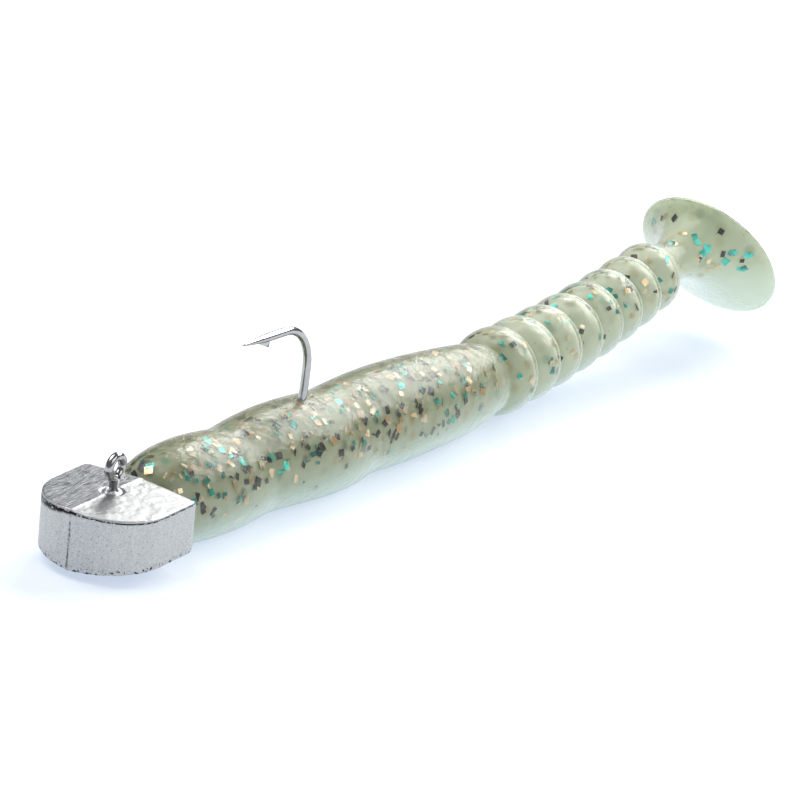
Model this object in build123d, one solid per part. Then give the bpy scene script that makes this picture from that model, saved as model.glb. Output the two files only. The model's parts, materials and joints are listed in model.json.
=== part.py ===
from build123d import *
import math
import os

# A soft paddle-tail bait rigged on a cast lead jig head. Millimetres throughout.
# The pieces are drawn with X = 0 on the back face of the casting and Z = 0 on the bait's long
# axis, nose towards -X. The last step lifts them onto the surface that the bait lies on.

# Where it lies
AXIS_HEIGHT = 4.75      # long axis above the surface, with the soft belly pressed flat on it

# Lead head: a D-shaped casting, flat sides, its top and bottom drafted from the parting plane
HEAD_WIDTH = 13.66
HEAD_STRAIGHT = 5.9     # straight part of the sides, from the back face forward
NOSE_LENGTH = 6.2       # half ellipse ahead of the straight part
HEAD_HEIGHT = 6.6       # along the parting line
HEAD_RAISE = 0.12       # middle of the back face above the bait's axis
HEAD_DROOP = 3.6        # degrees that the heavy nose hangs down from the bait's axis
FACE_DRAFT = 4.3        # degrees that the top and bottom faces fall away to the sides
RIM_ROUND = 0.3

# Lead collar and keeper barb that hold the bait on, cast in one with the head
COLLAR_RADIUS = 2.2
COLLAR_LENGTH = 7.0
KEEPER_RADIUS = 3.0
KEEPER_START = 3.0
KEEPER_LENGTH = 2.4

# Jig hook, one tinned wire from eye to point
WIRE_RADIUS = 0.46
EYE_X = -5.38
EYE_Z = 5.45
EYE_RADIUS = 1.12       # to the middle of the wire
EYE_LAND_RADIUS = 0.74  # inside of the eye, worn to a narrow flat land
EYE_BEND = 1.6          # bend inside the casting, from the neck to the shank
SHANK_REAR = 27.4
HEEL_RADIUS = 7.0
THROAT_RADIUS = 5.0
POINT_HEIGHT = 14.04
POINT_START = 19.3
POINT_LENGTH = 4.75
TIP_RADIUS = 0.04
BARB_LENGTH = 2.6
BARB_DEPTH = 0.72
BARB_WIDTH = 0.4

# Soft body: stations of its round section, from the casting back to the first groove
BODY_GAP = 0.1          # clear of the casting's back face
BODY_STATIONS = [
    (1.2, 4.45),
    (3.6, 5.2),
    (9.0, 5.6),
    (15.5, 5.27),
    (24.5, 5.7),
    (34.0, 5.6),
    (43.5, 5.68),
    (52.0, 5.42),
    (58.0, 4.95),
    (62.2, 4.5),
]
BODY_FRONT_RADIUS = 3.4
BODY_END = 63.7
BODY_END_RADIUS = 4.1
POUR_LINE = -0.8        # the smoky back meets the milky belly just under the axis

# Ringed tail, curling up a little from ring to ring
RING_COUNT = 8
RING_LENGTH = (5.0, 4.15)       # first and last ring
RING_RADIUS = (4.95, 4.1)
GROOVE_DEPTH = 0.7
RING_PITCH = (3.5, 14.0)        # degrees above level
TAIL_START_HEIGHT = 0.4
FLEX_GAP = 0.15                 # from a piece to the middle of the groove
FLEX_TAPER = 6.5                # degrees that a ring's end falls back, to leave room to bend

# Paddle: a neck that opens like a trumpet into a round disc
NECK_RADIUS = 2.4
NECK_TAPER = 14.0
DISC_RADIUS = 8.95
DISC_THICKNESS = 0.9
DISC_PITCH = 33.0               # degrees that the disc's rear face looks upwards
DISC_X = 112.6
DISC_Z = 5.4
THROAT_X = 106.2                # middle of the trumpet
THROAT_Z = 6.5
TRUMPET_RADII = (3.7, 7.6)      # at its middle, and where it meets the disc


def between(pair, index):
    """The value for a ring, running evenly from the first ring's to the last one's."""
    first, last = pair
    return first + (last - first) * index / (RING_COUNT - 1)


def turned(outline):
    """A solid of revolution about X from an outline drawn in X and radius."""
    wire = outline + Line(outline @ 1, outline @ 0)
    return revolve(make_face(wire), Axis.X)


def casting():
    """The D-shaped head with its collar and keeper barb."""
    plan = Pos(-HEAD_STRAIGHT / 2, 0) * Rectangle(HEAD_STRAIGHT, HEAD_WIDTH)
    plan += Pos(-HEAD_STRAIGHT, 0) * Ellipse(NOSE_LENGTH, HEAD_WIDTH / 2)
    block = extrude(plan, amount=HEAD_HEIGHT, both=True)
    ridge = HEAD_HEIGHT / 2
    side = HEAD_WIDTH / 2 + 1
    eave = ridge - side * math.tan(math.radians(FACE_DRAFT))
    corners = [(0, ridge), (side, eave), (side, -eave), (0, -ridge), (-side, -eave), (-side, eave)]
    roof = extrude(Plane.YZ * make_face(Polyline(*corners, close=True)), amount=-HEAD_WIDTH)
    head = block & roof
    rim = [e for e in head.edges() if abs(e.tangent_at(0.5).Z) < 0.9 and abs(e.center().Y) > 0.6]
    rim = [e for e in rim if e.center().X < -RIM_ROUND]
    head = fillet(rim, RIM_ROUND)
    head = Pos(0, 0, HEAD_RAISE) * Rot(0, -HEAD_DROOP, 0) * head
    keeper_end = KEEPER_START + KEEPER_LENGTH
    collar = turned(Polyline(
        (-1, 0),
        (-1, COLLAR_RADIUS),
        (KEEPER_START, COLLAR_RADIUS),
        (KEEPER_START + 0.3, KEEPER_RADIUS),
        (keeper_end, COLLAR_RADIUS - 0.2),
        (COLLAR_LENGTH, COLLAR_RADIUS - 0.7),
        (COLLAR_LENGTH, 0),
    ))
    return head + collar


def hook():
    """Eye, neck, shank, heel, throat, point and barb, all in the parting plane."""
    neck_top = EYE_Z - EYE_RADIUS
    heel_x = SHANK_REAR - HEEL_RADIUS
    throat_z = POINT_HEIGHT - THROAT_RADIUS
    throat_x = SHANK_REAR - THROAT_RADIUS
    neck = Line((EYE_X, 0, neck_top), (EYE_X, 0, EYE_BEND))
    route = neck + TangentArc((EYE_X, 0, EYE_BEND), (EYE_X + EYE_BEND, 0, 0), tangent=(0, 0, -1))
    route += Line((EYE_X + EYE_BEND, 0, 0), (heel_x, 0, 0))
    route += TangentArc((heel_x, 0, 0), (SHANK_REAR, 0, HEEL_RADIUS), tangent=(1, 0, 0))
    route += Line((SHANK_REAR, 0, HEEL_RADIUS), (SHANK_REAR, 0, throat_z))
    route += TangentArc((SHANK_REAR, 0, throat_z), (throat_x, 0, POINT_HEIGHT), tangent=(0, 0, 1))
    route += Line((throat_x, 0, POINT_HEIGHT), (POINT_START, 0, POINT_HEIGHT))
    section = Plane((EYE_X, 0, neck_top), z_dir=(0, 0, -1)) * Circle(WIRE_RADIUS)
    wire = sweep(section, path=route)
    eye = Pos(EYE_X, 0, EYE_Z) * Rot(90, 0, 0) * Torus(EYE_RADIUS, WIRE_RADIUS)
    land = Pos(EYE_X, 0, EYE_Z) * Rot(90, 0, 0) * Cylinder(EYE_LAND_RADIUS, 4)
    eye -= land
    point = Cone(WIRE_RADIUS, TIP_RADIUS, POINT_LENGTH, align=(Align.CENTER, Align.CENTER, Align.MIN))
    point = Pos(POINT_START, 0, POINT_HEIGHT) * Rot(0, -90, 0) * point
    barb_x = POINT_START + 0.4
    barb = make_face(Polyline(
        (barb_x - BARB_LENGTH, POINT_HEIGHT - 0.1),
        (barb_x, POINT_HEIGHT - WIRE_RADIUS - BARB_DEPTH),
        (barb_x - 0.6, POINT_HEIGHT - 0.1),
        close=True,
    ))
    barb = extrude(Plane.XZ * barb, amount=BARB_WIDTH / 2, both=True)
    return wire + eye - land + point + barb


def body_blank():
    """The front of the soft bait: a domed end, three low swellings and a rounded rear."""
    fall = BODY_END_RADIUS * math.tan(math.radians(FLEX_TAPER))
    rear = (BODY_END - FLEX_GAP - fall, BODY_END_RADIUS)
    front = (BODY_GAP, BODY_FRONT_RADIUS)
    skin = Spline(front, *BODY_STATIONS, rear)
    outline = Line((BODY_GAP, 0), front) + skin + Line(rear, (BODY_END - FLEX_GAP, 0))
    return turned(outline)


def ring_blank(length, radius):
    """One bead of the tail, drawn with the middle of its front groove at the origin."""
    edge = radius - GROOVE_DEPTH
    fall = edge * math.tan(math.radians(FLEX_TAPER))
    front = (FLEX_GAP + fall, edge)
    rear = (length - FLEX_GAP - fall, edge)
    outline = Line((FLEX_GAP, 0), front) + ThreePointArc(front, (length / 2, radius), rear)
    return turned(outline + Line(rear, (length - FLEX_GAP, 0)))


def paddle_blank(root):
    """The neck, the trumpet and the round disc, drawn in place from the last groove."""
    fall = NECK_RADIUS * math.tan(math.radians(NECK_TAPER))
    stub = Cone(0.3, NECK_RADIUS, fall, align=(Align.CENTER, Align.CENTER, Align.MIN))
    stub = root * Rot(0, 90, 0) * Pos(0, 0, FLEX_GAP) * stub
    seat = root * Rot(0, 90, 0) * Pos(0, 0, FLEX_GAP + fall)
    throat_pitch = (RING_PITCH[1] + DISC_PITCH) / 2
    throat = Pos(THROAT_X, 0, THROAT_Z) * Rot(0, 90 - throat_pitch, 0)
    disc_place = Pos(DISC_X, 0, DISC_Z) * Rot(0, 90 - DISC_PITCH, 0)
    trumpet = loft([
        seat * Circle(NECK_RADIUS),
        throat * Circle(TRUMPET_RADII[0]),
        disc_place * Pos(0, 0, -DISC_THICKNESS / 4) * Circle(TRUMPET_RADII[1]),
    ])
    disc = disc_place * Cylinder(DISC_RADIUS, DISC_THICKNESS)
    return stub + trumpet + disc


def split_pours(blank, place):
    """Cut a soft piece along the line where the smoky pour meets the milky one."""
    line = place * Pos(0, 0, POUR_LINE)
    half_space = Box(400, 400, 200, align=(Align.CENTER, Align.CENTER, Align.MIN))
    back = blank & (line * half_space)
    belly = blank - (line * half_space)
    return back, belly


def on_surface(solid):
    """The piece with whatever would sink below the resting surface pressed flat."""
    floor = Pos(0, 0, -AXIS_HEIGHT) * Box(400, 400, 50, align=(Align.CENTER, Align.CENTER, Align.MAX))
    return solid - floor


jig_hook = hook()
head_blank = casting()
lead_head = head_blank - jig_hook
pieces = {"lead_head": lead_head, "jig_hook": jig_hook}

body = on_surface(body_blank()) - head_blank - jig_hook
pieces["body_back"], pieces["body_belly"] = split_pours(body, Pos(0, 0, 0))

grooves = []
x, z = BODY_END, TAIL_START_HEIGHT
for i in range(RING_COUNT):
    length = between(RING_LENGTH, i)
    pitch = between(RING_PITCH, i)
    place = Pos(x, 0, z) * Rot(0, -pitch, 0)
    ring = place * ring_blank(length, between(RING_RADIUS, i))
    back, belly = split_pours(ring, place)
    pieces[f"ring_{i + 1}_back"] = back
    pieces[f"ring_{i + 1}_belly"] = belly
    grooves.append((x, z, pitch))
    x += length * math.cos(math.radians(pitch))
    z += length * math.sin(math.radians(pitch))
grooves.append((x, z, RING_PITCH[1]))

neck_place = Pos(x, 0, z) * Rot(0, -RING_PITCH[1], 0)
pieces["paddle_back"], pieces["paddle_belly"] = split_pours(paddle_blank(neck_place), Pos(0, 0, z))

boxes = [piece.bounding_box() for piece in pieces.values()]
middle = (min(box.min.X for box in boxes) + max(box.max.X for box in boxes)) / 2
lift = Pos(-middle, 0, AXIS_HEIGHT)

os.makedirs("parts", exist_ok=True)
for name, piece in pieces.items():
    export_step(lift * piece, f"parts/{name}.step")

print("shift", -middle, AXIS_HEIGHT)
for number, (x, z, pitch) in enumerate(grooves):
    print("groove", number, round(x - middle, 4), round(z + AXIS_HEIGHT, 4), round(pitch, 3))
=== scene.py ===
import json
import math
import random

import bpy
import numpy as np
from mathutils import Matrix, Vector


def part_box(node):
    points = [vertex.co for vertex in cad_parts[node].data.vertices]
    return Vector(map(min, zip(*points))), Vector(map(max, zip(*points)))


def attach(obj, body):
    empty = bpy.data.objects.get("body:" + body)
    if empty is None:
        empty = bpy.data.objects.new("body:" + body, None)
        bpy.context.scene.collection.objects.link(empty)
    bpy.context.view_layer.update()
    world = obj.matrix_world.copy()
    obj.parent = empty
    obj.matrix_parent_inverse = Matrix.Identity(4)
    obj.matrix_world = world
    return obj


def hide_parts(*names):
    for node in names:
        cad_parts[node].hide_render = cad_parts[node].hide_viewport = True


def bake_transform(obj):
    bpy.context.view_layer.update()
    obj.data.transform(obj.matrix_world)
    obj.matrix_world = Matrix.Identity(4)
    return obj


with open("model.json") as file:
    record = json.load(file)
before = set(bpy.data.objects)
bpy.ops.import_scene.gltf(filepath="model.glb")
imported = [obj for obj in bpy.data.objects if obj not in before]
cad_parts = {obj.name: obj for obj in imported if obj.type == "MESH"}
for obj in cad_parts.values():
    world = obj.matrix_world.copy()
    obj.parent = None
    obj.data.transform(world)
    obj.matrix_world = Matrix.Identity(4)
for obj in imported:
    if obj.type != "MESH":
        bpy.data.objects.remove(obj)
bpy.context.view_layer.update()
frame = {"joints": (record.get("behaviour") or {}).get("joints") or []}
MM = 0.001


# ---- Lead head -------------------------------------------------------------------------------
# A D-shaped casting of bare lead, poured in a two-part mould that opens on the middle plane.
# Its broad faces fall away a little to both sides, and a thin line of flash marks the joint.
HEAD_WIDTH = 13.66 * MM
HEAD_HEIGHT = 6.6 * MM
REAR_LAP = 0.9 * MM             # how far the casting's rear face stands over the bait's nose
HEAD_STRAIGHT = 5.9 * MM + REAR_LAP
NOSE_LENGTH = 6.2 * MM
FACE_DRAFT = math.radians(4.3)
HEAD_DROOP = math.radians(3.6)
BAIT_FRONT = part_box("body_back")[0].x - 0.1 * MM
AXIS_HEIGHT = 4.75 * MM         # the bait's long axis above the table
AXIS = Vector((BAIT_FRONT, 0, AXIS_HEIGHT))
HEAD_RAISE = 0.12 * MM
RIM_ROUND = 0.42 * MM
CORNER_ROUND = 2.0 * MM
FLASH_HEIGHT = 0.07 * MM        # the line of flash on the mould's joint
FLASH_HALF = 0.14 * MM
GRAIN = 0.1 * MM                # the cells of the remeshed casting
LUMPS = (1.1 * MM, 0.07 * MM)   # how wide and how high the casting's lumps are
EYE_ALONG = -5.38 * MM          # where the wire leaves the lead
SPLASH_REACH = 1.3 * MM         # the raised ring and the dip that the lead left round the wire
SPLASH_RING = (0.62 * MM, 0.2 * MM, 0.16 * MM)
SPLASH_WELL = (1.0 * MM, 0.22 * MM, 0.08 * MM)


class Socket:
    """One value in a material, so that maths on it is written as an expression."""

    def __init__(self, finish, out):
        self.finish = finish
        self.out = out

    def maths(self, operation, *values):
        sockets = dict(enumerate(values))
        return self.finish.node("ShaderNodeMath", {"operation": operation}, sockets)[0]

    def __add__(self, other):
        return self.maths("ADD", self, other)

    def __sub__(self, other):
        return self.maths("SUBTRACT", self, other)

    def __rsub__(self, other):
        return self.maths("SUBTRACT", other, self)

    def __mul__(self, other):
        return self.maths("MULTIPLY", self, other)

    def __gt__(self, other):
        return self.maths("GREATER_THAN", self, other)

    def __lt__(self, other):
        return self.maths("LESS_THAN", self, other)

    __radd__ = __add__
    __rmul__ = __mul__


class Finish:
    """A new material with a Principled shader, and the nodes that feed it."""

    def __init__(self, name, **fixed):
        self.material = bpy.data.materials.new(name)
        self.material.use_nodes = True
        self.tree = self.material.node_tree
        self.shader = self.tree.nodes["Principled BSDF"]
        self.output = self.tree.nodes["Material Output"]
        for key, value in fixed.items():
            self.shader.inputs[key.replace("_", " ")].default_value = value

    def feed(self, socket, value):
        if isinstance(value, Socket):
            self.tree.links.new(value.out, socket)
        else:
            socket.default_value = value

    def node(self, kind, settings=None, sockets=None):
        made = self.tree.nodes.new(kind)
        for key, value in (settings or {}).items():
            setattr(made, key, value)
        for key, value in (sockets or {}).items():
            self.feed(made.inputs[key], value)
        return [Socket(self, out) for out in made.outputs]

    def set(self, key, value):
        self.feed(self.shader.inputs[key], value)

    def here(self):
        """The place on the piece, in metres, as a vector."""
        return self.node("ShaderNodeTexCoord")[3]

    def split(self, vector):
        """The three numbers of a vector."""
        return self.node("ShaderNodeSeparateXYZ", None, {0: vector})

    def facing(self):
        """The way that the surface faces, as three numbers."""
        return self.split(self.node("ShaderNodeNewGeometry")[1])

    def noise(self, size, detail=2.0, stretch=(1, 1, 1)):
        """Cloudy noise, from 0 to 1, with features about size metres across."""
        spot = {"Vector": self.here(), "Scale": stretch}
        place = self.node("ShaderNodeMapping", None, spot)[0]
        sockets = {"Vector": place, "Scale": 1 / size, "Detail": detail}
        return self.node("ShaderNodeTexNoise", None, sockets)[0]

    def step(self, value, low, high):
        """0 below low, 1 above high, and smooth between."""
        sockets = {"Value": value, "From Min": low, "From Max": high}
        smooth = {"interpolation_type": "SMOOTHSTEP"}
        return self.node("ShaderNodeMapRange", smooth, sockets)[0]

    def mix(self, factor, low, high):
        """A colour between low and high."""
        low = low if isinstance(low, Socket) else (*low, 1)
        high = high if isinstance(high, Socket) else (*high, 1)
        sockets = {0: factor, 6: low, 7: high}
        return self.node("ShaderNodeMix", {"data_type": "RGBA"}, sockets)[2]

    def surface(self):
        """The Principled shader's result."""
        return Socket(self, self.shader.outputs[0])

    def blend(self, factor, first, second):
        """A shader between first and second."""
        return self.node("ShaderNodeMixShader", None, {0: factor, 1: first, 2: second})[0]

    def show(self, shader):
        self.feed(self.output.inputs[0], shader)

    def bump(self, height, distance, strength=1.0):
        sockets = {"Height": height, "Distance": distance, "Strength": strength}
        self.set("Normal", self.node("ShaderNodeBump", None, sockets)[0])


def deselect():
    bpy.ops.object.select_all(action="DESELECT")


def name_active(name):
    piece = bpy.context.active_object
    piece.name = name
    piece.data.name = name
    return piece


def pick(*pieces):
    """Select just these pieces, the last of them active."""
    deselect()
    for piece in pieces:
        piece.select_set(True)
    bpy.context.view_layer.objects.active = pieces[-1]


def edit(piece, mode="VERT"):
    pick(piece)
    bpy.ops.object.mode_set(mode="EDIT")
    bpy.ops.mesh.select_mode(type=mode)


def done():
    bpy.ops.object.mode_set(mode="OBJECT")


def settle(piece):
    """Put the piece's place into its mesh and leave its object at the origin."""
    pick(piece)
    bpy.ops.object.transform_apply(location=True, rotation=True, scale=True)


def apply_modifier(piece, kind, **settings):
    pick(piece)
    modifier = piece.modifiers.new(kind.lower(), kind)
    for key, value in settings.items():
        setattr(modifier, key, value)
    bpy.ops.object.modifier_apply(modifier=modifier.name)


def lead_finish():
    """Dull grey lead, brushed along its broad faces, with a ragged black line just under the rim.
    """
    lead = Finish("bare_lead", Metallic=1.0)
    casting = lead.node("ShaderNodeAttribute", {"attribute_name": "casting"})[1]
    along, across, drop = lead.split(casting)
    rise = lead.node("ShaderNodeAttribute", {"attribute_name": "rise"})[2]
    top = lead.step(lead.facing()[2], 0.6, 0.93)
    side = 1 - top
    brushed = lead.step(lead.noise(0.1 * MM, 3.0, (0.04, 1, 1)), 0.38, 0.6)
    # Painted shading by side: this mask marks the near side of the top faces, towards -Y, where
    # the bright light reflects.
    painted_near_side = lead.step(across, 0.1 * MM, -0.1 * MM)
    streaks = lead.step(lead.noise(0.45 * MM, 4.0, (1, 1, 0.12)), 0.4, 0.65)
    cloudy = lead.noise(1.8 * MM, 4.0)
    mottled = lead.step(lead.noise(0.2 * MM, 4.0), 0.38, 0.62)
    specks = lead.step(lead.noise(0.13 * MM, 2.0), 0.63, 0.7)
    # A ragged black line just under the rim, wider towards the nose.
    nose = lead.step(across, -3 * MM, 4.5 * MM) * lead.step(along, -4 * MM, -8 * MM)
    low = lead.step(drop, 0.4 * MM + nose * (0.8 * MM), 0.3 * MM + nose * (0.32 * MM))
    ragged = lead.step(lead.noise(0.3 * MM, 6.0), 0.37 - nose * 0.03, 0.5 - nose * 0.03)
    rim = low * lead.step(drop, 0.12 * MM, 0.26 * MM) * ragged
    crumbs = lead.step(lead.noise(0.3 * MM, 4.0), 0.56, 0.6)
    foot = lead.step(rise, 0.75 * MM, 0.3 * MM) * crumbs * side
    strayed = across + (lead.noise(0.8 * MM, 3.0) - 0.5) * (0.4 * MM)
    seam = lead.step(strayed, -0.2 * MM, -0.04 * MM) * lead.step(strayed, 0.16 * MM, 0.02 * MM)
    seam = seam * side * lead.step(lead.noise(0.5 * MM, 4.0), 0.38, 0.62)
    shade = lead.mix(mottled, (0.47, 0.475, 0.47), (0.6, 0.6, 0.59))
    shade = lead.mix(streaks * side * 0.3, shade, (0.4, 0.41, 0.41))
    shade = lead.mix(cloudy * side * 0.5, shade, (0.6, 0.605, 0.6))
    # Painted sheen by side: a flat, muted tone for the near top face, where the bright reflection
    # falls, and strong dark brushed lines for the far one.
    smooth = lead.mix(brushed * 0.7 + cloudy * 0.2, (0.35, 0.352, 0.35), (0.4, 0.4, 0.396))
    rough = lead.mix(brushed, (0.2, 0.21, 0.215), (0.56, 0.57, 0.57))
    shade = lead.mix(top, shade, lead.mix(painted_near_side, rough, smooth))
    shade = lead.mix(specks * side * 0.75, shade, (0.1, 0.105, 0.11))
    shade = lead.mix(seam * 0.8, shade, (0.06, 0.062, 0.066))
    shade = lead.mix(foot, shade, (0.03, 0.03, 0.033))
    shade = lead.mix(rim, shade, (0.008, 0.008, 0.01))
    lead.set("Base Color", shade)
    lead.set("Roughness", 0.46 + cloudy * 0.1 - top * 0.12)
    height = brushed * top * (0.3 - painted_near_side * 0.25) + mottled * side * 0.4
    lead.bump(height - specks * side * 0.6 - rim - seam * 0.5, 0.04 * MM, 0.6)
    return lead


def pick_edges(piece, wanted):
    """Leave just the wanted edges of a piece selected."""
    points = piece.data.vertices
    for part in (points, piece.data.polygons):
        for element in part:
            element.select = False
    for edge in piece.data.edges:
        edge.select = wanted(*(points[i].co for i in edge.vertices))
        for i in edge.vertices:
            points[i].select |= edge.select


def swell(reach, middle, width, height):
    """The height of a rounded ring, at this reach from its centre."""
    return height * math.exp(-((reach - middle) / width) ** 2)


def cast_head():
    """The casting: an ellipse cut in half and drawn back, rounded, drafted, and roughened."""
    deselect()
    bpy.ops.mesh.primitive_cylinder_add(vertices=96, radius=1, depth=HEAD_HEIGHT)
    head = name_active("lead_casting")
    edit(head)
    bpy.ops.mesh.select_all(action="SELECT")
    bpy.ops.transform.resize(value=(NOSE_LENGTH, HEAD_WIDTH / 2, 1))
    bpy.ops.transform.translate(value=(-HEAD_STRAIGHT, 0, 0))
    cut = (-HEAD_STRAIGHT, 0, 0)
    bpy.ops.mesh.bisect(plane_co=cut, plane_no=(1, 0, 0), clear_outer=True, use_fill=True)
    bpy.ops.mesh.extrude_region_move(TRANSFORM_OT_translate={"value": (HEAD_STRAIGHT, 0, 0)})
    done()
    pick_edges(head, lambda a, b: min(a.x, b.x) > -0.01 * MM and abs(a.z - b.z) > 1 * MM)
    edit(head, "EDGE")
    bpy.ops.mesh.bevel(offset=CORNER_ROUND, segments=6)
    for y in (-FLASH_HALF, 0, FLASH_HALF):
        bpy.ops.mesh.select_all(action="SELECT")
        bpy.ops.mesh.bisect(plane_co=(0, y, 0), plane_no=(0, 1, 0))
    done()
    for vertex in head.data.vertices:
        side = math.copysign(1, vertex.co.z)
        vertex.co.z -= side * abs(vertex.co.y) * math.tan(FACE_DRAFT)
        if abs(vertex.co.y) < FLASH_HALF / 2:
            vertex.co.z += side * FLASH_HEIGHT
            if vertex.co.x < -HEAD_STRAIGHT:
                vertex.co.x -= FLASH_HEIGHT
    rims = {"limit_method": "ANGLE", "angle_limit": math.radians(40)}
    apply_modifier(head, "BEVEL", width=RIM_ROUND, segments=4, **rims)
    apply_modifier(head, "TRIANGULATE")
    apply_modifier(head, "REMESH", mode="VOXEL", voxel_size=GRAIN)
    edit(head)
    bpy.ops.mesh.select_all(action="SELECT")
    bpy.ops.mesh.vertices_smooth(factor=0.5, repeat=2)
    done()
    lumps = bpy.data.textures.new("casting_lumps", "CLOUDS")
    lumps.noise_scale = LUMPS[0]
    lumps.noise_depth = 4
    spread = {"mid_level": 0.5, "texture_coords": "LOCAL"}
    apply_modifier(head, "DISPLACE", texture=lumps, strength=LUMPS[1], **spread)
    wire_x = EYE_ALONG - REAR_LAP
    places, rises = [], []
    for vertex in head.data.vertices:
        x, y, z = vertex.co
        half = HEAD_HEIGHT / 2 - abs(y) * math.tan(FACE_DRAFT)
        places += (x, y, half - z)
        rises.append(half + z)
        reach = math.hypot(x - wire_x, y)
        if z > 2 * MM and reach < SPLASH_REACH:
            lobes = 1 + 0.5 * math.sin(5 * math.atan2(y, x - wire_x))
            vertex.co.z += swell(reach, *SPLASH_RING) * lobes - swell(reach, *SPLASH_WELL)
    casting = head.data.attributes.new("casting", "FLOAT_VECTOR", "POINT")
    casting.data.foreach_set("vector", places)
    head.data.attributes.new("rise", "FLOAT", "POINT").data.foreach_set("value", rises)
    head.rotation_euler.y = -HEAD_DROOP
    head.location = AXIS + Vector((REAR_LAP, 0, HEAD_RAISE))
    settle(head)
    bpy.ops.object.shade_smooth_by_angle(angle=math.radians(35))
    head.data.materials.append(lead_finish().material)
    return head


head = cast_head()
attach(head, "rigged_front")
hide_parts("lead_head")


# ---- Jig hook --------------------------------------------------------------------------------
# One length of tinned spring wire: a closed eye on the head, a neck cast into the lead, a
# shank along the bait, and the bend that comes out of the back and ends in a barbed point.
WIRE = 0.46 * MM
EYE = AXIS + Vector((EYE_ALONG, 0, 5.45 * MM))
EYE_RADIUS = 1.12 * MM
NECK_BEND = 1.6 * MM
SHANK_REAR = BAIT_FRONT + 27.4 * MM
HEEL_RADIUS = 7.0 * MM
THROAT_RADIUS = 5.0 * MM
POINT_HEIGHT = AXIS_HEIGHT + 14.04 * MM
POINT_START = BAIT_FRONT + 19.3 * MM
POINT_LENGTH = 4.75 * MM
POINT_TAPER = ((0.25, 0.86), (0.25, 0.64), (0.25, 0.38), (0.2, 0.13), (0.05, 0.04))
BARB = (2.5 * MM, 0.7 * MM, 0.34 * MM)      # length, depth and width
WIRE_SIDES = 28
EYE_TURN = 343              # degrees of the ring, which isn't quite closed


def wire_finish():
    """Bright tin over steel, with the fine marks that the drawing of the wire left."""
    wire = Finish("bright_tin", Metallic=1.0)
    film = wire.noise(0.5 * MM, 3.0)
    drawn = wire.noise(0.12 * MM, 2.0, (0.25, 1, 0.25))
    wire.set("Base Color", wire.mix(film, (0.34, 0.34, 0.335), (0.47, 0.47, 0.465)))
    wire.set("Roughness", 0.1 + film * 0.08)
    wire.bump(drawn, 0.01 * MM, 0.35)
    return wire


def bend(centre, axis, degrees, steps=18):
    """Carry the open end of the wire round centre."""
    bpy.ops.mesh.spin(steps=steps, angle=math.radians(degrees), center=centre, axis=axis)


def draw(offset):
    """Carry the open end straight on by offset."""
    bpy.ops.mesh.extrude_region_move(TRANSFORM_OT_translate={"value": offset})


def bend_hook():
    """The wire drawn and bent from its neck to its point."""
    deselect()
    neck_top = EYE + Vector((0, 0, -EYE_RADIUS))
    bpy.ops.mesh.primitive_circle_add(vertices=WIRE_SIDES, radius=WIRE, location=neck_top)
    hook = name_active("tinned_hook")
    edit(hook)
    bpy.ops.mesh.select_all(action="SELECT")
    drop = neck_top.z - AXIS.z - NECK_BEND
    for _ in range(3):
        draw((0, 0, -drop / 3))
    turn = (EYE.x + NECK_BEND, 0, AXIS.z + NECK_BEND)
    bend(turn, (0, 1, 0), 90)
    heel = SHANK_REAR - HEEL_RADIUS
    draw((heel - turn[0], 0, 0))
    bend((heel, 0, AXIS.z + HEEL_RADIUS), (0, 1, 0), 90, 40)
    throat = POINT_HEIGHT - THROAT_RADIUS
    draw((0, 0, throat - AXIS.z - HEEL_RADIUS))
    bend((SHANK_REAR - THROAT_RADIUS, 0, throat), (0, 1, 0), 90, 40)
    run = SHANK_REAR - THROAT_RADIUS - POINT_START
    draw((-run, 0, 0))
    size = 1.0
    for share, target in POINT_TAPER:
        draw((-POINT_LENGTH * share, 0, 0))
        ratio = target / size
        bpy.ops.transform.resize(value=(1, ratio, ratio))
        size = target
    bpy.ops.mesh.merge(type="CENTER")
    done()
    return hook


def hook_eye():
    """The wire's end turned into a ring, its cut end standing just clear of the neck."""
    deselect()
    start = EYE + Vector((0, 0, -EYE_RADIUS))
    ring = {"vertices": WIRE_SIDES, "radius": WIRE, "rotation": (0, math.pi / 2, 0)}
    bpy.ops.mesh.primitive_circle_add(location=start, **ring)
    eye = name_active("hook_eye")
    settle(eye)
    edit(eye)
    bpy.ops.mesh.select_all(action="SELECT")
    bend(EYE, (0, -1, 0), EYE_TURN, 64)
    bpy.ops.mesh.edge_face_add()
    bpy.ops.mesh.bevel(offset=0.12 * MM, segments=3, affect="EDGES")
    done()
    return eye


def hook_barb():
    """The sliver that is cut up from the wire on the inside of the point."""
    deselect()
    length, depth, width = BARB
    root = Vector((POINT_START + 0.3 * MM - length / 2, 0, POINT_HEIGHT - WIRE * 0.45))
    bpy.ops.mesh.primitive_cube_add(size=1, location=root)
    barb = name_active("hook_barb")
    barb.scale = (length, width, depth)
    settle(barb)
    for vertex in barb.data.vertices:
        rear = vertex.co.x > root.x
        low = vertex.co.z < root.z
        if low and rear:
            vertex.co.z = POINT_HEIGHT - WIRE - depth
            vertex.co.y *= 0.35
        elif low:
            vertex.co.z = POINT_HEIGHT - WIRE * 0.4
    apply_modifier(barb, "BEVEL", width=0.05 * MM, segments=2)
    return barb


hook = bend_hook()
eye = hook_eye()
barb = hook_barb()
pick(eye, barb, hook)
bpy.ops.object.join()
edit(hook)
bpy.ops.mesh.select_all(action="SELECT")
bpy.ops.mesh.remove_doubles(threshold=0.002 * MM)
bpy.ops.mesh.normals_make_consistent(inside=False)
done()
settle(hook)
bpy.ops.object.shade_smooth_by_angle(angle=math.radians(40))
hook.data.materials.append(wire_finish().material)
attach(hook, "rigged_front")
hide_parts("jig_hook")


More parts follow.
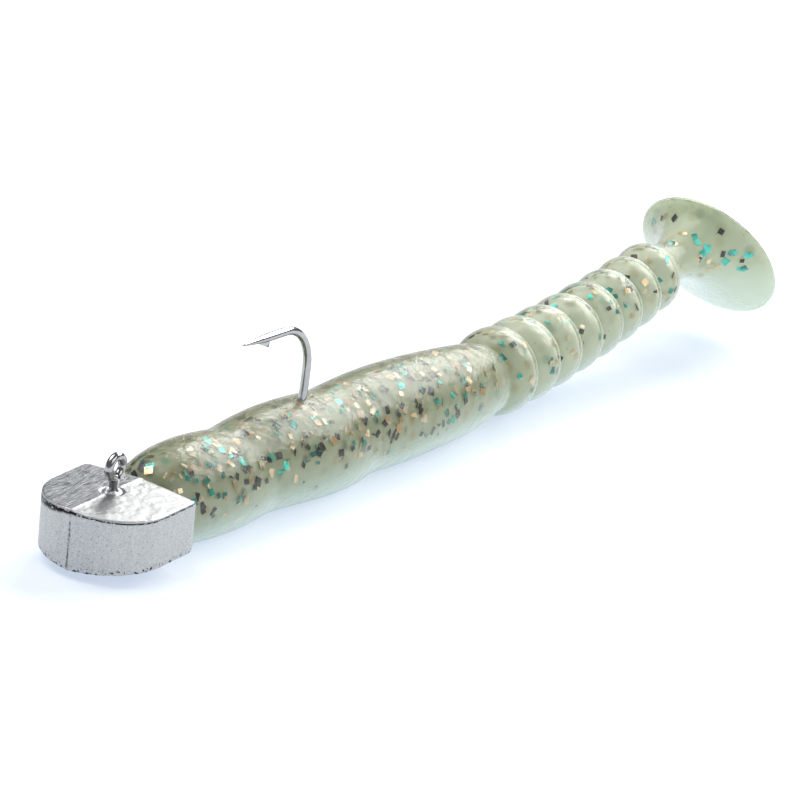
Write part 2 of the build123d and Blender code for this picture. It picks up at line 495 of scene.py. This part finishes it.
# ---- Soft bait -------------------------------------------------------------------------------
# Two pours of soft plastisol in one mould: a smoky olive back over a milky mint belly. A body
# with low swellings, a tail of eight rings and a round paddle, all one moulding.
BODY_HOOPS = [      # along the bait, height above the axis, depth below it
    (0.05, 3.3, 3.3),
    (0.7, 4.2, 4.2),
    (2.2, 4.85, 4.85),
    (4.6, 5.32, 5.3),
    (9.0, 5.62, 5.66),
    (13.4, 5.4, 5.55),
    (15.8, 5.12, 5.2),
    (17.2, 5.1, 5.14),
    (19.2, 5.36, 5.26),
    (23.5, 5.74, 5.58),
    (28.0, 5.86, 5.86),
    (32.4, 5.66, 5.6),
    (34.6, 5.46, 5.2),
    (36.4, 5.5, 5.14),
    (39.0, 5.72, 5.26),
    (44.0, 5.98, 5.32),
    (48.5, 5.88, 5.18),
    (52.5, 5.64, 5.16),
    (56.5, 5.24, 4.95),
    (60.0, 4.88, 4.55),
    (62.4, 4.52, 4.1),
    (63.4, 4.15, 3.7),
]
BODY_LENGTH = 60 * MM
LEAN = 0.66                 # how far the swellings lean back from their tops to their bottoms
GROOVES = [Vector(joint["pos_m"]) for joint in frame["joints"]]
RINGS = len(GROOVES) - 1
RING_RADIUS = (5.02 * MM, 4.16 * MM)     # at the first ring and at the last
GROOVE_DEPTH = 0.9 * MM
RING_PROFILE = (            # along from groove to groove, and the share of the groove's depth
    (0.04, 1.0),
    (0.1, 0.66),
    (0.22, 0.3),
    (0.42, 0.06),
    (0.64, 0.0),
    (0.82, 0.14),
    (0.92, 0.5),
    (0.97, 1.0),
)
DISC_CENTRE = AXIS + Vector((112.6, 0, 5.4)) * MM
DISC_PITCH = 33.0
DISC_RADIUS = 9.02 * MM
NECK_BOW = 1.0 * MM
NECK_FLARE = (              # along from the last groove to the paddle, and the radius
    (0.04, 3.0),
    (0.12, 2.6),
    (0.24, 2.45),
    (0.38, 2.8),
    (0.54, 3.6),
    (0.7, 4.9),
    (0.83, 6.4),
    (0.94, 8.0),
)
PADDLE_RIM = (              # behind the paddle's middle, and the radius
    (-0.12, 8.8),
    (0.06, 9.0),
    (0.26, DISC_RADIUS / MM),
    (0.4, 8.86),
    (0.5, 7.6),
    (0.46, 4.5),
    (0.4, 1.5),
)
PADDLE_SKIN = 0.2 * MM      # the clear plastic is no thicker than this on the paddle
FRONT_END = 57 * MM         # behind the nose of the bait, where the stiff first length ends
NECK_CUT = 0.34             # the share of the way from the last groove to the paddle
HEART_DEPTH = (0.55 * MM, 0.1 * MM)      # clear plastic over and under the cloudy heart
FLOOR_ROUND = 0.3 * MM      # over this height the belly eases into the flat that it lies on
TAIL_START = BAIT_FRONT + 72 * MM       # the olive smoke of the body has thinned out by here
CLIMB = (BAIT_FRONT + 68 * MM, BAIT_FRONT + 114 * MM)   # where the parting of the pours climbs
CLIMB_HEIGHT = 6.5 * MM


def hoop_list(over, under):
    """Every hoop of the moulding from nose to paddle: its centre, pitch in degrees and radius.

    Each is drawn in by over at its top and by under at its bottom.
    """
    inset = (over + under) / 2
    sink = (over - under) / 2
    hoops = []
    for x, up, down in BODY_HOOPS:
        centre = AXIS + Vector((x, 0, (up - down) / 2)) * MM
        hoops.append((centre - Vector((0, 0, sink)), 0.0, (up + down) / 2 * MM - inset))
    for i, (here, there) in enumerate(zip(GROOVES, GROOVES[1:])):
        step = there - here
        slope = math.atan2(step.z, step.x)
        down = Vector((math.sin(slope), 0, -math.cos(slope))) * sink
        peak = RING_RADIUS[0] + (RING_RADIUS[1] - RING_RADIUS[0]) * i / (RINGS - 1) - inset
        for along, depth in RING_PROFILE:
            spot = here + step * along + down
            hoops.append((spot, math.degrees(slope), peak - depth * GROOVE_DEPTH))
    root = GROOVES[-1]
    last = hoops[-1][1]
    reach = DISC_CENTRE - root
    thin = min(inset, PADDLE_SKIN)
    for along, radius in NECK_FLARE:
        bow = Vector((0, 0, NECK_BOW * math.sin(math.pi * along)))
        pitch = last + (DISC_PITCH - last) * along
        hoops.append((root + reach * along + bow, pitch, radius * MM - thin * 1.6))
    turned = math.radians(DISC_PITCH)
    face = Vector((math.cos(turned), 0, math.sin(turned)))
    for along, radius in PADDLE_RIM:
        back = thin if along > 0.2 else -thin
        hoops.append((DISC_CENTRE + face * (along * MM - back), DISC_PITCH, radius * MM - thin))
    return hoops


def lean_swellings(moulding):
    """Push the tops of the body's swellings forward and their bottoms back, so that they slant."""
    for vertex in moulding.data.vertices:
        share = (vertex.co.x - BAIT_FRONT) / BODY_LENGTH
        if 0 < share < 1:
            vertex.co.x -= LEAN * math.sin(math.pi * share) * (vertex.co.z - AXIS_HEIGHT)


def press_flat(moulding, floor):
    """Flatten what would go below the table, easing in over FLOOR_ROUND."""
    for vertex in moulding.data.vertices:
        near = (vertex.co.z - floor + FLOOR_ROUND) / (2 * FLOOR_ROUND)
        if near < 1:
            vertex.co.z = floor + FLOOR_ROUND * max(near, 0) ** 2


def pull_moulding(name, over, under):
    """Extrude a circle from hoop to hoop, nose to paddle, and close the paddle."""
    hoops = hoop_list(over, under)
    centre, pitch, radius = hoops[0]
    deselect()
    bpy.ops.mesh.primitive_circle_add(vertices=40, radius=radius, rotation=(0, math.pi / 2, 0))
    moulding = name_active(name)
    settle(moulding)
    edit(moulding)
    bpy.ops.mesh.select_all(action="SELECT")
    bpy.ops.transform.translate(value=centre)
    for spot, turn, size in hoops[1:]:
        draw(spot - centre)
        if turn != pitch:
            angle = math.radians(turn - pitch)
            bpy.ops.transform.rotate(value=angle, orient_axis="Y", center_override=spot)
        grow = size / radius
        bpy.ops.transform.resize(value=(grow, grow, grow), center_override=spot)
        centre, pitch, radius = spot, turn, size
    bpy.ops.mesh.edge_face_add()
    bpy.ops.mesh.inset(thickness=0.4 * MM)
    bpy.ops.mesh.select_all(action="SELECT")
    bpy.ops.mesh.normals_make_consistent(inside=False)
    done()
    apply_modifier(moulding, "SUBSURF", levels=2, render_levels=2)
    lean_swellings(moulding)
    press_flat(moulding, under)
    return moulding


def tail_rise(pour, x):
    """How far the parting of the two pours climbs with the tail."""
    return pour.step(x, *CLIMB) * CLIMB_HEIGHT


def cells(pour, size):
    """Cells scattered through the pour: how far each one's middle is, and its random numbers."""
    sockets = {"Vector": pour.here(), "Scale": 1 / size}
    found = pour.node("ShaderNodeTexVoronoi", {"feature": "F1"}, sockets)
    return found[0], pour.node("ShaderNodeSeparateColor", None, {0: found[1]})


def cloudy_finish():
    """The heart of the bait: smoky above, milky below, with flakes blurred deep inside and painted
    shade on the paddle's back face.
    """
    pour = Finish("cloudy_plastisol", Roughness=0.6)
    pour.shader.inputs["Specular IOR Level"].default_value = 0.1
    x, _, z = pour.split(pour.here())
    swirl = pour.noise(5 * MM, 3.0, (0.5, 1, 1))
    level = z - tail_rise(pour, x) + (swirl - 0.5) * (2.4 * MM) - AXIS_HEIGHT
    back = pour.step(level, -2.6 * MM, 1.0 * MM)
    deep = pour.step(level, 0.5 * MM, 5 * MM)
    smoke = pour.mix(deep, (0.68, 0.69, 0.51), (0.54, 0.53, 0.37))
    milk = pour.mix(swirl, (0.66, 0.8, 0.66), (0.76, 0.88, 0.77))
    colour = pour.mix(back, milk, smoke)
    tail = pour.step(x, BAIT_FRONT + BODY_LENGTH, TAIL_START)
    pale = pour.mix(back, (0.94, 0.98, 0.95), (0.89, 0.9, 0.75))
    colour = pour.mix(tail * 0.92, colour, pale)
    # Painted shade: the paddle's back face, turned to the bright light beyond the tail, is made
    # darker than the rest of the pale tail.
    rear = pour.step(pour.facing()[0], 0.45, 0.75) * (x > DISC_CENTRE.x - 4 * MM)
    colour = pour.mix(rear, colour, pour.mix(back, (0.6, 0.68, 0.6), (0.52, 0.56, 0.42)))
    away, kind = cells(pour, 2.0 * MM)
    ghost = pour.step(away, 0.46, 0.16) * back * (kind[0] > 0.25) * (1 - tail * 0.5)
    tint = pour.mix(kind[1] > 0.55, (0.62, 0.42, 0.22), (0.1, 0.12, 0.1))
    tint = pour.mix(kind[1] > 0.8, tint, (0.12, 0.4, 0.3))
    colour = pour.mix(ghost * 0.8, colour, tint)
    away, kind = cells(pour, 0.9 * MM)
    pepper = (away < 0.1) * (kind[0] > 0.5) * back * 0.6
    pour.set("Base Color", pour.mix(pepper, colour, (0.04, 0.04, 0.03)))
    glow = pour.node("ShaderNodeBsdfTranslucent", None, {"Color": (0.78, 0.86, 0.68, 1)})[0]
    pour.show(pour.blend(0.36, pour.surface(), glow))
    return pour.material


def clear_finish():
    """The clear outer depth of the plastisol: a soft gloss, and a tint where it's seen edge on."""
    skin = Finish("clear_plastisol", Roughness=1.0)
    skin.shader.inputs["Specular IOR Level"].default_value = 0
    x, _, z = skin.split(skin.here())
    parting = (AXIS_HEIGHT - 2.5 * MM, AXIS_HEIGHT + 2.5 * MM)
    back = skin.step(z - tail_rise(skin, x), *parting)
    front = skin.step(x, TAIL_START, BAIT_FRONT + 58 * MM)
    edge = skin.mix(front, (0.6, 0.63, 0.52), (0.27, 0.27, 0.17))
    skin.set("Base Color", skin.mix(back, (0.74, 0.85, 0.76), edge))
    lumps = {"Height": skin.noise(1.6 * MM, 4.0), "Distance": 0.3 * MM, "Strength": 0.9}
    normal = skin.node("ShaderNodeBump", None, lumps)[0]
    clear = skin.node("ShaderNodeBsdfTransparent", None, {"Color": (0.985, 0.99, 0.975, 1)})[0]
    gloss = skin.node("ShaderNodeBsdfGlossy", None, {"Roughness": 0.26, "Normal": normal})[0]
    aslant = skin.step(skin.node("ShaderNodeLayerWeight", None, {"Blend": 0.5})[1], 0.4, 0.95)
    body = skin.blend(aslant * 0.78 + 0.07, clear, skin.surface())
    shine = skin.node("ShaderNodeFresnel", None, {"IOR": 1.45, "Normal": normal})[0]
    skin.show(skin.blend(shine * 0.85, body, gloss))
    return skin.material


def joint_cuts():
    """Where the moulding is cut into lengths: a point in each ring, and the way the tail runs."""
    cuts = [(AXIS + Vector((FRONT_END, 0, 0)), Vector((1, 0, 0)))]
    for here, there in zip(GROOVES[:-1], GROOVES[1:]):
        cuts.append(((here + there) / 2, (there - here).normalized()))
    neck = DISC_CENTRE - GROOVES[-1]
    cuts.append((GROOVES[-1] + neck * NECK_CUT, neck.normalized()))
    return cuts


BODIES = ["rigged_front"] + [f"ring_{i}" for i in range(1, RINGS + 1)] + ["paddle"]
BETWEEN = [f"ring_{i}_{i + 1}" for i in range(1, RINGS)]
LENGTHS = ["front", "root"] + BETWEEN + ["neck", "paddle"]


def cut_lengths(moulding, prefix, material):
    """Copy the moulding once for each length and cut away the rest."""
    cuts = joint_cuts()
    pieces = []
    for i, label in enumerate(LENGTHS):
        length = moulding.copy()
        length.data = moulding.data.copy()
        length.name = f"{prefix}_{label}"
        length.data.name = length.name
        bpy.context.scene.collection.objects.link(length)
        edit(length)
        if i > 0:
            bpy.ops.mesh.select_all(action="SELECT")
            bpy.ops.mesh.bisect(plane_co=cuts[i - 1][0], plane_no=cuts[i - 1][1], clear_inner=True)
        if i < len(cuts):
            bpy.ops.mesh.select_all(action="SELECT")
            bpy.ops.mesh.bisect(plane_co=cuts[i][0], plane_no=cuts[i][1], clear_outer=True)
        done()
        bpy.ops.object.shade_smooth()
        length.data.materials.append(material)
        pieces.append(length)
    bpy.data.objects.remove(moulding)
    return pieces


def hang(piece, i):
    """The first length rides on the front and the last on the paddle; those between have their
    place put into their mesh.
    """
    cuts = joint_cuts()
    if i == 0:
        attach(piece, BODIES[0])
    elif i == len(cuts):
        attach(piece, BODIES[-1])
    else:
        BODIES[i - 1]
        cuts[i - 1][0]
        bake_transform(piece)


hearts = cut_lengths(pull_moulding("heart", *HEART_DEPTH), "heart", cloudy_finish())
skins = cut_lengths(pull_moulding("skin", 0.0, 0.0), "skin", clear_finish())
for i, (heart, skin) in enumerate(zip(hearts, skins)):
    hang(heart, i)
    hang(skin, i)
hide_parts("body_belly")
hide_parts("body_back")
for i in range(1, RINGS + 1):
    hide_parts(f"ring_{i}_belly")
    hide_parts(f"ring_{i}_back")
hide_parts("paddle_belly")
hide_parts("paddle_back")


# ---- Flakes ----------------------------------------------------------------------------------
# Squares of metallised and dyed polyester film, about a millimetre across, stirred into the
# pours. They lie mostly flat to the skin, as the plastisol flowed along the mould.
FLAKE = 0.8 * MM
FLAKE_THICK = 0.03 * MM
FLAKE_CURL = 0.05
PER_AREA = {"front": 0.68, "paddle": 0.5}       # flakes tried on each square millimetre
TAIL_PER_AREA = 0.26
FIRST_SEED = 60
DISC_BARE_RIM = 1.1 * MM    # no flakes this near to the paddle's thin rim
FLAKE_LINE = (64 * MM, 0.14)            # where the flakes' lower limit starts to climb, how fast
KEPT = (0.02, 0.7, 1.5)     # the share kept on the belly, at the limit, and its gain above that


def flake_finish(name, dark, bright, metallic, rough):
    """Coloured film, its tone drifting a little from flake to flake."""
    film = Finish(name, Metallic=metallic, Roughness=rough)
    tone = film.noise(1.2 * MM, 1.0)
    film.set("Base Color", film.mix(film.step(tone, 0.35, 0.65), dark, bright))
    film.bump(film.noise(0.5 * MM, 2.0), 0.02 * MM, 0.4)
    return film.material


FILMS = [
    flake_finish("gold_film", (0.86, 0.6, 0.32), (1.0, 0.92, 0.7), 0.65, 0.3),
    flake_finish("teal_film", (0.02, 0.28, 0.26), (0.08, 0.7, 0.58), 0.65, 0.3),
    flake_finish("black_film", (0.02, 0.02, 0.024), (0.09, 0.085, 0.1), 0.5, 0.35),
]
FILM_SHARES = (0.4, 0.3, 0.3)


def one_flake():
    """A square of film with a slight curl."""
    deselect()
    bpy.ops.mesh.primitive_plane_add(size=1)
    flake = name_active("flake_pattern")
    edit(flake)
    bpy.ops.mesh.select_all(action="SELECT")
    bpy.ops.mesh.subdivide(number_cuts=1)
    done()
    for vertex in flake.data.vertices:
        vertex.co.z = FLAKE_CURL * (vertex.co.x ** 2 - vertex.co.y ** 2)
    points = np.array([v.co for v in flake.data.vertices])
    faces = [tuple(p.vertices) for p in flake.data.polygons]
    bpy.data.objects.remove(flake)
    return points, faces


def scatter(skin, label, per_area, seed):
    """Flakes under the skin of one length, thick on the back and few on the belly."""
    climb_start, climb = FLAKE_LINE
    fewest, usual, gain = KEPT
    rng = random.Random(seed)
    shape, quads = one_flake()
    # The faces' own order can differ from run to run, so they are taken by place.
    beds = sorted(skin.data.polygons, key=lambda p: tuple(round(c / MM, 3) for c in p.center))
    areas = [bed.area for bed in beds]
    count = int(sum(areas) / MM ** 2 * per_area)
    points, faces, films = [], [], []
    for bed in rng.choices(beds, weights=areas, k=count):
        centre = bed.center
        on_disc = centre.x > DISC_CENTRE.x - 7 * MM
        if on_disc and (centre - DISC_CENTRE).length > DISC_RADIUS - DISC_BARE_RIM:
            continue
        line = AXIS_HEIGHT + max(0.0, (centre.x - BAIT_FRONT - climb_start) * climb)
        level = (centre.z - line) / (5 * MM)
        if rng.random() > min(1.0, max(fewest, usual + gain * level)):
            continue
        size = FLAKE * rng.uniform(0.6, 1.2)
        lean = math.radians(abs(rng.gauss(0, 5 if on_disc else 20)))
        depth = 0.05 * MM + 0.55 * size * math.sin(lean)
        depth += rng.uniform(0, 0.05 if on_disc else 0.2) * MM
        axis = (math.cos(rng.uniform(0, 6.3)), math.sin(rng.uniform(0, 6.3)), 0)
        tilt = Matrix.Rotation(lean, 3, axis)
        spin = Matrix.Rotation(rng.uniform(0, math.pi), 3, "Z")
        lay = bed.normal.to_track_quat("Z", "Y").to_matrix() @ tilt @ spin
        wide = size * rng.choice((1.0, 1.0, 0.7))
        start = len(points)
        for x, y, z in shape:
            flat = Vector((x * size, y * wide, z * size))
            points.append(centre - bed.normal * depth + lay @ flat)
        film = rng.choices(range(3), weights=FILM_SHARES)[0]
        for quad in quads:
            faces.append([start + v for v in quad])
            films.append(film)
    flakes = bpy.data.meshes.new(f"flakes_{label}")
    flakes.from_pydata(points, [], faces)
    piece = bpy.data.objects.new(f"flakes_{label}", flakes)
    bpy.context.scene.collection.objects.link(piece)
    for film in FILMS:
        flakes.materials.append(film)
    flakes.polygons.foreach_set("material_index", films)
    apply_modifier(piece, "SOLIDIFY", thickness=FLAKE_THICK, offset=0)
    return piece


for i, (label, skin) in enumerate(zip(LENGTHS, skins)):
    flakes = scatter(skin, label, PER_AREA.get(label, TAIL_PER_AREA), FIRST_SEED + i)
    hang(flakes, i)


# ---- Floor, light and camera -------------------------------------------------------------------
# A white table lit faintly from below, with soft lights beyond the tail, overhead and in front.
# The backdrop is white to the camera and dim to everything else.
SKY = ((0.85, 0.92, 1.0, 1), 0.22)
BACKDROP = (0.95, 0.97, 1.0, 1)
AZIMUTH = math.radians(-59.119)
ELEVATION = math.radians(18.588)
ROLL = math.radians(7.874)
AIM_RIGHT = 25.84 * MM
AIM_UP = 10.65 * MM
DISTANCE = 0.5


def table_finish():
    """White board with a faint, even glow."""
    paper = Finish("white_table", Roughness=0.7)
    paper.shader.inputs["Specular IOR Level"].default_value = 0.1
    paper.set("Base Color", paper.mix(paper.noise(0.05), (0.47, 0.455, 0.43), (0.49, 0.475, 0.45)))
    paper.shader.inputs["Emission Color"].default_value = (0.66, 0.77, 0.94, 1)
    paper.shader.inputs["Emission Strength"].default_value = 0.68
    return paper.material


deselect()
bpy.ops.mesh.primitive_plane_add(size=6, location=(0, 0, 0))
table = name_active("table")
table.data.materials.append(table_finish())

world = bpy.data.worlds.new("studio")
bpy.context.scene.world = world
world.use_nodes = True
nodes, links = world.node_tree.nodes, world.node_tree.links
sky = nodes["Background"]
sky.inputs[0].default_value, sky.inputs[1].default_value = SKY
backdrop = nodes.new("ShaderNodeBackground")
backdrop.inputs[0].default_value = BACKDROP
seen = nodes.new("ShaderNodeMixShader")
links.new(nodes.new("ShaderNodeLightPath").outputs["Is Camera Ray"], seen.inputs[0])
links.new(sky.outputs[0], seen.inputs[1])
links.new(backdrop.outputs[0], seen.inputs[2])
links.new(seen.outputs[0], nodes["World Output"].inputs[0])


def soft_light(name, bearing, height, distance, size, radiance):
    """A soft rectangular light aimed at the bait. Bearing, from +X, and height are in degrees."""
    light = bpy.data.lights.new(name, "AREA")
    light.shape = "RECTANGLE"
    light.size, light.size_y = size
    light.energy = radiance * math.pi * size[0] * size[1]
    lamp = bpy.data.objects.new(name, light)
    turn, lift = math.radians(bearing), math.radians(height)
    out, up = math.cos(lift), math.sin(lift)
    place = Vector((out * math.cos(turn), out * math.sin(turn), up)) * distance
    lamp.location = place
    lamp.rotation_euler = (-place).to_track_quat("-Z", "Y").to_euler()
    bpy.context.scene.collection.objects.link(lamp)


soft_light("tail_panel", -4, 38, 0.8, (0.9, 0.42), 8.0)
soft_light("top_panel", 115, 62, 0.8, (0.6, 0.6), 4.0)
soft_light("front_panel", -95, 36, 0.9, (0.8, 0.5), 1.8)

back_axis = Vector((
    math.sin(AZIMUTH) * math.cos(ELEVATION),
    -math.cos(AZIMUTH) * math.cos(ELEVATION),
    math.sin(ELEVATION),
))
level_right = Vector((math.cos(AZIMUTH), math.sin(AZIMUTH), 0))
level_up = back_axis.cross(level_right)
right = math.cos(ROLL) * level_right + math.sin(ROLL) * level_up
up = math.cos(ROLL) * level_up - math.sin(ROLL) * level_right
lens = bpy.data.cameras.new("camera")
lens.sensor_width = 36
lens.lens = 225
lens.clip_start = 0.01
camera = bpy.data.objects.new("camera", lens)
eye_point = AXIS + right * AIM_RIGHT + up * AIM_UP + back_axis * DISTANCE
turned = Matrix((right, up, back_axis)).transposed().to_4x4()
camera.matrix_world = Matrix.Translation(eye_point) @ turned
bpy.context.scene.collection.objects.link(camera)
bpy.context.scene.camera = camera
bpy.context.scene.view_settings.view_transform = "Standard"
